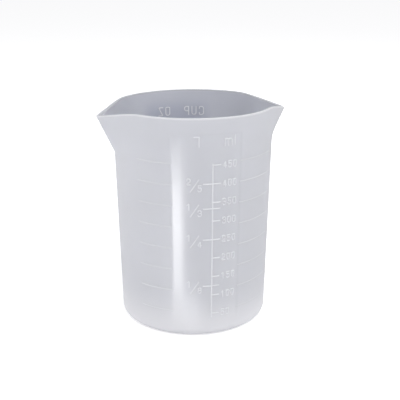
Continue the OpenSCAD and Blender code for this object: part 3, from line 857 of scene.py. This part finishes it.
@dataclass
class Marks:
    """Strokes that share one CAD node, one side of the cup and one surface, laid out flat.

    The label names the piece. The width is that of a stroke, the depth is how far its surface lies below
    the frosted wall's, the relief is how proud it stands of that surface, and the root reaches below it.
    """

    # A round end's points lie at these shares of its reach, which takes at most END_REACH of the stroke's
    # last piece. The ridge's size there is never below LEAST_SIZE. A level stroke has a point at least
    # every LEVEL_STEP degrees, and a ruler line has RULER_STEPS pieces.
    END_SHARES: ClassVar[tuple[float, ...]] = (0.0, 0.12, 0.35, 0.65)
    END_REACH: ClassVar[float] = 0.9
    LEAST_SIZE: ClassVar[float] = 0.12
    LEVEL_STEP: ClassVar[float] = 1.5
    RULER_STEPS: ClassVar[int] = 6

    node: str
    label: str
    form: CupForm
    sizes: MarkSizes
    side: Side
    width: float
    depth: float
    relief: float
    root: float
    strokes: list[Stroke] = field(default_factory=list)

    @property
    def unrolled(self) -> float:
        """Radius of the wall at half its height, at which it is unrolled."""
        return self.form.wall_r(self.form.height / 2)

    def along(self, degrees: float) -> float:
        """Flat distance of an angle along the wall."""
        return math.radians(degrees) * self.unrolled

    def line(self, low: Point, high: Point, steps: int) -> None:
        """Adds a straight stroke.

        Args:
            low: the angle and the height where it starts.
            high: the angle and the height where it ends.
            steps: how many pieces it is divided into, so that it follows the wall.
        """
        start, end = np.array([(self.along(a), z) for a, z in (low, high)])
        shares = np.linspace(0, 1, steps + 1)
        self.strokes.append(([tuple(start + (end - start) * share) for share in shares], False))

    def level_line(self, start: float, end: float, z: float) -> None:
        """Adds a level stroke between two angles, its round ends inside them."""
        steps = max(2, math.ceil(abs(end - start) / self.LEVEL_STEP))
        self.line((start, z), (end, z), steps)

    def ruler(self, angle: float, top_volume: float) -> None:
        """Adds the upright line of a scale, up to the tick of this volume in millilitres."""
        top = self.form.level(top_volume) + self.sizes.line_w / 2
        self.line((angle, self.sizes.ruler_bottom), (angle, top), self.RULER_STEPS)

    def ticks(self, volumes: Iterable[float], start: float, end: float) -> None:
        """Adds level ticks at these volumes in millilitres, between two angles."""
        for volume in volumes:
            self.level_line(start, end, self.form.level(volume))

    def sign(self, letter: str, degrees: float, z: float, width: float, height: float,
             turned: bool = False) -> None:
        """Adds one letter or digit.

        Args:
            letter: a key of LETTERS.
            degrees: the angle of its middle.
            z: the height of its foot.
            width: its full width, its strokes included.
            height: its full height.
            turned: whether it stands on its head.
        """
        half_w, tall = (width - self.width) / 2, height - self.width
        stretch = self.unrolled / self.form.wall_r(z)
        flip = -1 if turned else 1
        for path in LETTERS[letter]:
            sized = [(x * half_w, (y - 0.5) * tall, bend * half_w) for x, y, bend in path]
            placed = [(self.along(degrees) + flip * x * stretch, z + height / 2 + flip * y, r)
                      for x, y, r in sized]
            self.strokes.append(bend_path(placed))

    def row(self, letters: str, start: float, z: float, width: float, height: float, pitch: float) -> None:
        """Adds letters in a row.

        Args:
            letters: the row, each a key of LETTERS.
            start: the angle where it begins.
            z: the height of its foot.
            width: the full width of a letter.
            height: the full height of a letter.
            pitch: the distance between two letters' middles.
        """
        radius = self.form.wall_r(z)
        for i, letter in enumerate(letters):
            self.sign(letter, start + math.degrees((width / 2 + i * pitch) / radius), z, width, height)

    def number(self, value: int, volume: float, start: float) -> None:
        """Adds a number beside its tick, centred on the tick's height.

        Args:
            value: the number.
            volume: the tick's volume in millilitres.
            start: the angle where the number begins.
        """
        sizes = self.sizes
        z = self.form.level(volume) - sizes.number_h / 2
        self.row(str(value), start, z, sizes.number_w, sizes.number_h, sizes.number_pitch)

    def fraction(self, whole: int, top: int, bottom: int, volume: float, middle: float) -> None:
        """Adds a fraction beside its tick, with a whole number before it where there is one.

        Args:
            whole: the whole number, or 0 for none.
            top: the number above the slash.
            bottom: the number below the slash.
            volume: the tick's volume in millilitres.
            middle: the angle of the fraction's middle.
        """
        sizes = self.sizes
        z = self.form.level(volume) - sizes.fraction_fall
        low = z - sizes.fraction_h
        radius = self.form.wall_r(z)
        aside = math.degrees(sizes.fraction_side / radius)
        self.sign(str(top), middle - aside, z, sizes.number_w, sizes.fraction_h)
        self.sign(str(bottom), middle + aside, low, sizes.number_w, sizes.fraction_h)
        self.sign("/", middle + math.degrees(sizes.slash_shift / radius), low, sizes.slash_w, sizes.slash_h)
        if whole:
            whole_z = low + (sizes.slash_h - sizes.number_h) / 2
            left = middle - math.degrees(sizes.whole_side / radius)
            self.sign(str(whole), left, whole_z, sizes.number_w, sizes.number_h)

    def round_ends(self, points: list[Point]) -> Path:
        """Gives an open stroke round ends.

        Args:
            points: the stroke's flat points.

        Returns:
            Points as (x, y, share of the ridge's size), with more of them at the ends.
        """
        half = self.width / 2
        ends = [(np.array(end), np.array(beside) - np.array(end))
                for end, beside in ((points[0], points[1]), (points[-1], points[-2]))]
        reach = min(half, *(np.linalg.norm(inward) * self.END_REACH for _, inward in ends))
        sizes = [max(self.LEAST_SIZE, math.sqrt(1 - (1 - share) ** 2)) for share in self.END_SHARES]
        head, tail = (
            [(*(end + inward / np.linalg.norm(inward) * (share * reach - half)), size)
             for share, size in zip(self.END_SHARES, sizes)] for end, inward in ends)
        return [*head, *((x, y, 1.0) for x, y in points), *reversed(tail)]

    def build(self, tree: bpy.types.NodeTree, material: bpy.types.Material) -> bpy.types.Object:
        """Raises the strokes and wraps them on the wall.

        Args:
            tree: the Geometry Nodes that do so.
            material: the marks' finish.

        Returns:
            The finished piece.
        """
        curve = bpy.data.curves.new(self.label + "_strokes", "CURVE")
        curve.dimensions = "3D"
        for points, closed in self.strokes:
            full = [(x, y, 1.0) for x, y in points] if closed else self.round_ends(points)
            spline = curve.splines.new("POLY")
            spline.points.add(len(full) - 1)
            spline.use_cyclic_u = closed
            for point, (x, y, size) in zip(spline.points, full):
                point.co = (x * MM, y * MM, 0, 1)
                point.radius = size
        flat = add_object(self.label + "_flat", curve)
        modifier = flat.modifiers.new("ridges", "NODES")
        modifier.node_group = tree
        values = {
            "Half Width": self.width * MM / 2, "Relief": self.relief * MM, "Root": self.root * MM,
            "Foot Radius": (self.form.wall_r(0) - self.depth) * MM, "Taper": self.form.taper,
            "Unrolled Radius": self.unrolled * MM, "Side Turn": math.radians(self.side.value),
            "Finish": material,
        }
        for socket in tree.interface.items_tree:
            if socket.name in values:
                modifier[socket.identifier] = values[socket.name]
        graph = bpy.context.evaluated_depsgraph_get()
        mesh = bpy.data.meshes.new_from_object(flat.evaluated_get(graph))
        bpy.data.objects.remove(flat)
        bpy.data.curves.remove(curve)
        build = bmesh.new()
        build.from_mesh(mesh)
        bmesh.ops.remove_doubles(build, verts=build.verts, dist=SAME_PLACE)
        bmesh.ops.recalc_face_normals(build, faces=build.faces)
        build.to_mesh(mesh)
        build.free()
        mesh.shade_smooth()
        mesh.name = "moulded_" + self.label
        piece = add_object(mesh.name, mesh)
        finish_piece(piece, self.node)
        return piece


@dataclass
class Scales:
    """All the raised marks: the ounce rings, and the front and back scales with their lettering."""

    form: CupForm
    sizes: MarkSizes = field(default_factory=MarkSizes)
    finish: MarkFinish = field(default_factory=MarkFinish)
    ring_finish: MarkFinish = field(default_factory=lambda: MarkFinish(colour="#e6e7eb"))
    # A lighter copy of the marks' silicone: painted light on the back letters, which show on the inside of
    # the cup.
    back_finish: MarkFinish = field(default_factory=lambda: MarkFinish(colour="#fafbfe"))
    ml_volumes: tuple[int, ...] = tuple(range(50, 451, 50))
    litre_fractions: tuple[tuple[int, int], ...] = ((1, 8), (1, 4), (1, 3), (2, 5))
    ounces: tuple[int, ...] = tuple(range(2, 17, 2))
    ounces_per_cup: int = 8

    def marks(self, side: Side, *nodes: str) -> dict[str, Marks]:
        """Empty marks for the nodes of one side. All but the rings lie in its window.

        Args:
            side: the side of the cup.
            nodes: the CAD nodes that they stand for.

        Returns:
            The marks by node, without a stroke yet.
        """
        sizes, made = self.sizes, {}
        window_root = sizes.through_root if side is Side.BACK else sizes.root
        for node in nodes:
            width = sizes.line_w if node.endswith(("line", "ticks", "rings")) else sizes.stroke
            label, depth, relief, root = node, self.form.window_depth, sizes.relief, window_root
            if node == "ounce_rings":
                label, depth, relief, root = f"{side.name.lower()}_{node}", 0.0, sizes.ring_relief, sizes.root
            made[node] = Marks(node, label, self.form, sizes, side, width, depth, relief, root)
        return made

    def rings(self) -> list[Marks]:
        """The ounce rings, which run from each window's edges towards the spouts.

        Returns:
            One set of marks for each side of the cup.
        """
        sets = []
        for side, (left, right) in self.form.windows.items():
            ring = self.marks(side, "ounce_rings")["ounce_rings"]
            for ounces in self.ounces:
                z = self.form.level(ounces * self.sizes.ounce_ml)
                ring.level_line(-self.sizes.ring_end, left, z)
                ring.level_line(right, self.sizes.ring_end, z)
            sets.append(ring)
        return sets

    def front(self) -> list[Marks]:
        """The millilitre and litre scales.

        Returns:
            One set of marks for each node of the front.
        """
        sizes, ruler = self.sizes, self.sizes.front_ruler
        marks = self.marks(Side.FRONT, "front_ruler_line", "millilitre_ticks", "millilitre_numbers",
                           "millilitre_heading", "litre_ticks", "litre_fractions", "litre_heading")
        marks["front_ruler_line"].ruler(ruler, self.ml_volumes[-1])
        marks["millilitre_ticks"].ticks(self.ml_volumes, ruler, ruler + sizes.tick_short)
        for volume in self.ml_volumes:
            marks["millilitre_numbers"].number(volume, volume, ruler + sizes.ml_number_column)
        foot = sizes.front_heading_z
        radius = self.form.wall_r(foot)
        middle = ruler + sizes.ml_heading_column + math.degrees(sizes.small_m_w / 2 / radius)
        after = middle + math.degrees((sizes.small_m_w / 2 + sizes.small_l_gap) / radius)
        marks["millilitre_heading"].sign("m", middle, foot, sizes.small_m_w, sizes.small_m_h)
        marks["millilitre_heading"].sign("l", after, foot, sizes.number_w, sizes.heading_h)
        litres = {part: 1000 * part[0] / part[1] for part in self.litre_fractions}
        marks["litre_ticks"].ticks(litres.values(), ruler - sizes.tick_long, ruler)
        alone = [volume for volume in litres.values() if volume not in self.ml_volumes]
        marks["litre_ticks"].ticks(alone, ruler, ruler + sizes.tick_short)
        for (top, bottom), volume in litres.items():
            marks["litre_fractions"].fraction(0, top, bottom, volume, ruler - sizes.fraction_column)
        marks["litre_heading"].sign("L", ruler - sizes.litre_heading_column, foot, sizes.capital_w,
                                    sizes.heading_h, turned=True)
        return list(marks.values())

    def back(self) -> list[Marks]:
        """The ounce and cup scales.

        Returns:
            One set of marks for each node of the back.
        """
        sizes, ruler = self.sizes, self.sizes.back_ruler
        volumes = [ounces * sizes.ounce_ml for ounces in self.ounces]
        marks = self.marks(Side.BACK, "back_ruler_line", "ounce_ticks", "cup_ticks", "ounce_numbers",
                           "cup_fractions", "ounce_heading", "cup_heading")
        marks["back_ruler_line"].ruler(ruler, volumes[-1])
        marks["ounce_ticks"].ticks(volumes, ruler, ruler + sizes.tick_short)
        marks["cup_ticks"].ticks(volumes, ruler - sizes.tick_long, ruler)
        for ounces, volume in zip(self.ounces, volumes):
            marks["ounce_numbers"].number(ounces, volume, ruler + sizes.oz_number_column)
            whole, quarters = divmod(4 * ounces // self.ounces_per_cup, 4)
            if quarters:
                top, bottom = (1, 2) if quarters == 2 else (quarters, 4)
                marks["cup_fractions"].fraction(whole, top, bottom, volume, ruler - sizes.fraction_column)
            else:
                marks["cup_fractions"].number(whole, volume, ruler - sizes.fraction_column)
        pitch = sizes.capital_w + sizes.capital_gap
        for node, letters, start in (("ounce_heading", "OZ", ruler + sizes.oz_heading_column),
                                     ("cup_heading", "CUP", ruler - sizes.cup_heading_column)):
            marks[node].row(letters, start, sizes.back_heading_z, sizes.capital_w, sizes.heading_h, pitch)
        return list(marks.values())

    def build(self) -> None:
        """Raises every mark on the wall."""
        tree = mark_tree()
        for name, finish, sets in (
            ("moulded_ring_silicone", self.ring_finish, self.rings()),
            ("moulded_raised_silicone", self.finish, self.front()),
            # The back marks' lighter copy paints light on them.
            ("moulded_back_silicone_painted_lighter", self.back_finish, self.back()),
        ):
            material = finish.build(name)
            for marks in sets:
                marks.build(tree, material)


@dataclass(frozen=True)
class Viewpoint:
    """The camera of the photograph: its place and its lens in millimetres, and its angles in degrees."""

    distance: float = 424.5
    height: float = 196.5
    turn: float = 14.43
    pitch: float = 17.41
    yaw: float = 0.485
    roll: float = -0.19
    lens: float = 72.57

    def build(self) -> bpy.types.Object:
        """Creates the camera and makes it the scene's own.

        Returns:
            The camera's object.
        """
        turn, pitch = math.radians(self.turn), math.radians(self.pitch)
        level = math.cos(pitch)
        ahead = Vector((math.sin(turn) * level, math.cos(turn) * level, -math.sin(pitch)))
        right = Vector((math.cos(turn), -math.sin(turn), 0))
        axes = Matrix((right, right.cross(ahead), -ahead)).transposed()
        aside = Matrix.Rotation(math.radians(-self.yaw), 3, "Y")
        tilted = Matrix.Rotation(math.radians(self.roll), 3, "Z")
        data = bpy.data.cameras.new("view")
        data.lens = self.lens
        camera = add_object("view", data)
        place = Vector((-math.sin(turn) * self.distance, -math.cos(turn) * self.distance, self.height))
        camera.matrix_world = Matrix.Translation(place * MM) @ (axes @ aside @ tilted).to_4x4()
        bpy.context.scene.camera = camera
        return camera


@dataclass(frozen=True)
class SoftBox:
    """One rectangular lamp in millimetres, which looks at the cup's middle or lies on the table facing up.

    Its angle about the cup grows from the middle of the front to the right. A lying lamp can only be seen
    in a mirror. Its tall side then points away from the cup.
    """

    name: str
    angle: float
    distance: float
    height: float
    width: float
    tall: float
    radiance: float
    lying: bool = False
    aim_height: float = 60.0

    def build(self) -> None:
        """Creates the lamp, with its power worked out from its radiance and its area."""
        data = bpy.data.lights.new(self.name, "AREA")
        data.shape = "RECTANGLE"
        data.size, data.size_y = self.width * MM, self.tall * MM
        data.energy = self.radiance * math.pi * data.size * data.size_y
        lamp = add_object(self.name, data)
        angle = math.radians(self.angle)
        place = Vector((math.sin(angle), -math.cos(angle), 0)) * self.distance + Vector((0, 0, self.height))
        if self.lying:
            turned = Matrix.Rotation(angle, 4, "Z") @ Matrix.Rotation(math.pi, 4, "Y")
        else:
            look = Vector((0, 0, self.aim_height)) - place
            turned = look.to_track_quat("-Z", "Y").to_matrix().to_4x4()
        lamp.matrix_world = Matrix.Translation(place * MM) @ turned
        lamp.visible_camera = False
        lamp.visible_diffuse = not self.lying
        lamp.visible_transmission = not self.lying


@dataclass(frozen=True)
class Studio:
    """A pale floor, a plain sky and soft lamps. What the camera sees past the cup is white.

    The sky and the floor glow for the camera and in mirrors, and by the share called behind where the cup's
    wall shows them. The strips are the lamps of the window's streak: the edges are their distances from the
    wall, the spreads their widths as shares of the distance, and the radiances their brightness.
    """

    sky: float = 0.5
    behind: float = 0.1
    floor_colour: str = "#f2f2f4"
    floor_glow: float = 0.5
    floor_radius: float = 8000.0
    floor_sides: int = 96
    # Name, angle, distance, height, width, tall and radiance.
    lamps: tuple[SoftBox, ...] = (
        SoftBox("overhead", 15, 420, 1100, 700, 700, 2.85),
        SoftBox("left_box", -105, 700, 40, 420, 260, 5.0),
        SoftBox("right_box", 70, 700, 420, 420, 260, 1.2),
        SoftBox("front_box", -5, 900, 420, 700, 260, 2.4),
        SoftBox("back_box", 135, 600, 800, 400, 400, 2.5),
        SoftBox("foot_glow", -17, 66, 1, 16, 36, 7.5, lying=True),
    )
    streak_angle: float = -25.6
    strip_edges: tuple[float, ...] = (13, 43, 84, 134, 200, 250, 300)
    strip_spreads: tuple[float, ...] = (0.24, 0.24, 0.24, 0.2, 0.12, 0.04)
    strip_radiances: tuple[float, ...] = (17.0, 14.0, 16.0, 27.0, 56.0, 12.0)

    def strips(self, form: CupForm, view: Viewpoint) -> list[SoftBox]:
        """Lamps that lie on the table, where the polished window mirrors them to the camera.

        Together they are one long panel that widens away from the cup, so that its image in the window is
        an upright streak of even width.

        Args:
            form: the cup, whose wall they start from.
            view: the camera that sees their image.

        Returns:
            The lamps, from near to far.
        """
        wall, ahead = math.radians(self.streak_angle), math.radians(2 * self.streak_angle + view.turn)
        strips = []
        edges = zip(self.strip_edges, self.strip_edges[1:])
        for (near, far), spread, radiance in zip(edges, self.strip_spreads, self.strip_radiances):
            away = (near + far) / 2
            x = form.wall_r(0) * math.sin(wall) + away * math.sin(ahead)
            y = form.wall_r(0) * math.cos(wall) + away * math.cos(ahead)
            strips.append(SoftBox(f"strip_{near}", math.degrees(math.atan2(x, y)), math.hypot(x, y), 1,
                                  away * spread, far - near, radiance, lying=True))
        return strips

    def seen(self, tree: bpy.types.NodeTree) -> bpy.types.NodeSocket:
        """How much a ray shows of a surface to the camera.

        Args:
            tree: the tree that the nodes go into.

        Returns:
            1 for rays from the camera or from a mirror, the share called behind through the wall, else 0.
        """
        path = add_node(tree, "ShaderNodeLightPath").outputs
        direct = add_node(tree, "ShaderNodeMath", {0: path["Is Camera Ray"], 1: path["Is Glossy Ray"]},
                          operation="MAXIMUM").outputs[0]
        behind = add_node(tree, "ShaderNodeMath", {0: path["Is Transmission Ray"], 1: self.behind},
                          operation="MULTIPLY").outputs[0]
        return add_node(tree, "ShaderNodeMath", {0: direct, 1: behind}, operation="MAXIMUM").outputs[0]

    def build(self, form: CupForm, view: Viewpoint) -> None:
        """Creates the sky, the floor and the lamps.

        Args:
            form: the cup.
            view: the camera.
        """
        world = bpy.data.worlds.new("studio")
        world.use_nodes = True
        bpy.context.scene.world = world
        tree = world.node_tree
        strength = add_node(tree, "ShaderNodeMapRange", {"Value": self.seen(tree), "To Min": self.sky})
        tree.links.new(strength.outputs[0], tree.nodes["Background"].inputs["Strength"])
        tree.nodes["Background"].inputs["Color"].default_value = WHITE

        # A matt painted board: no gloss at all, so it takes the cup's soft shadow and mirrors nothing.
        material, shader = start_material("matt_painted_floor", {
            "Base Color": srgb(self.floor_colour), "Roughness": 1.0, "Specular IOR Level": 0.0,
            "Emission Color": WHITE})
        tree = material.node_tree
        glow = add_node(tree, "ShaderNodeMath", {0: self.seen(tree), 1: self.floor_glow},
                        operation="MULTIPLY")
        tree.links.new(glow.outputs[0], shader.inputs["Emission Strength"])
        mesh = bpy.data.meshes.new("floor")
        reach, turns = self.floor_radius * MM, np.linspace(0, 2 * math.pi, self.floor_sides, endpoint=False)
        mesh.from_pydata([(reach * math.cos(a), reach * math.sin(a), 0) for a in turns], [],
                         [tuple(range(self.floor_sides))])
        mesh.materials.append(material)
        add_object("floor", mesh)
        for lamp in (*self.lamps, *self.strips(form, view)):
            lamp.build()


def main() -> None:
    """Builds the camera, the cup and its marks, and the studio."""
    logging.basicConfig(level=logging.INFO, format="%(name)s: %(message)s")
    bpy.context.scene.view_settings.view_transform = "Standard"
    form, view = CupForm(), Viewpoint()
    view.build()
    CupShell(form).build()
    Scales(form).build()
    Studio().build(form, view)


if __name__ == "__main__":
    main()
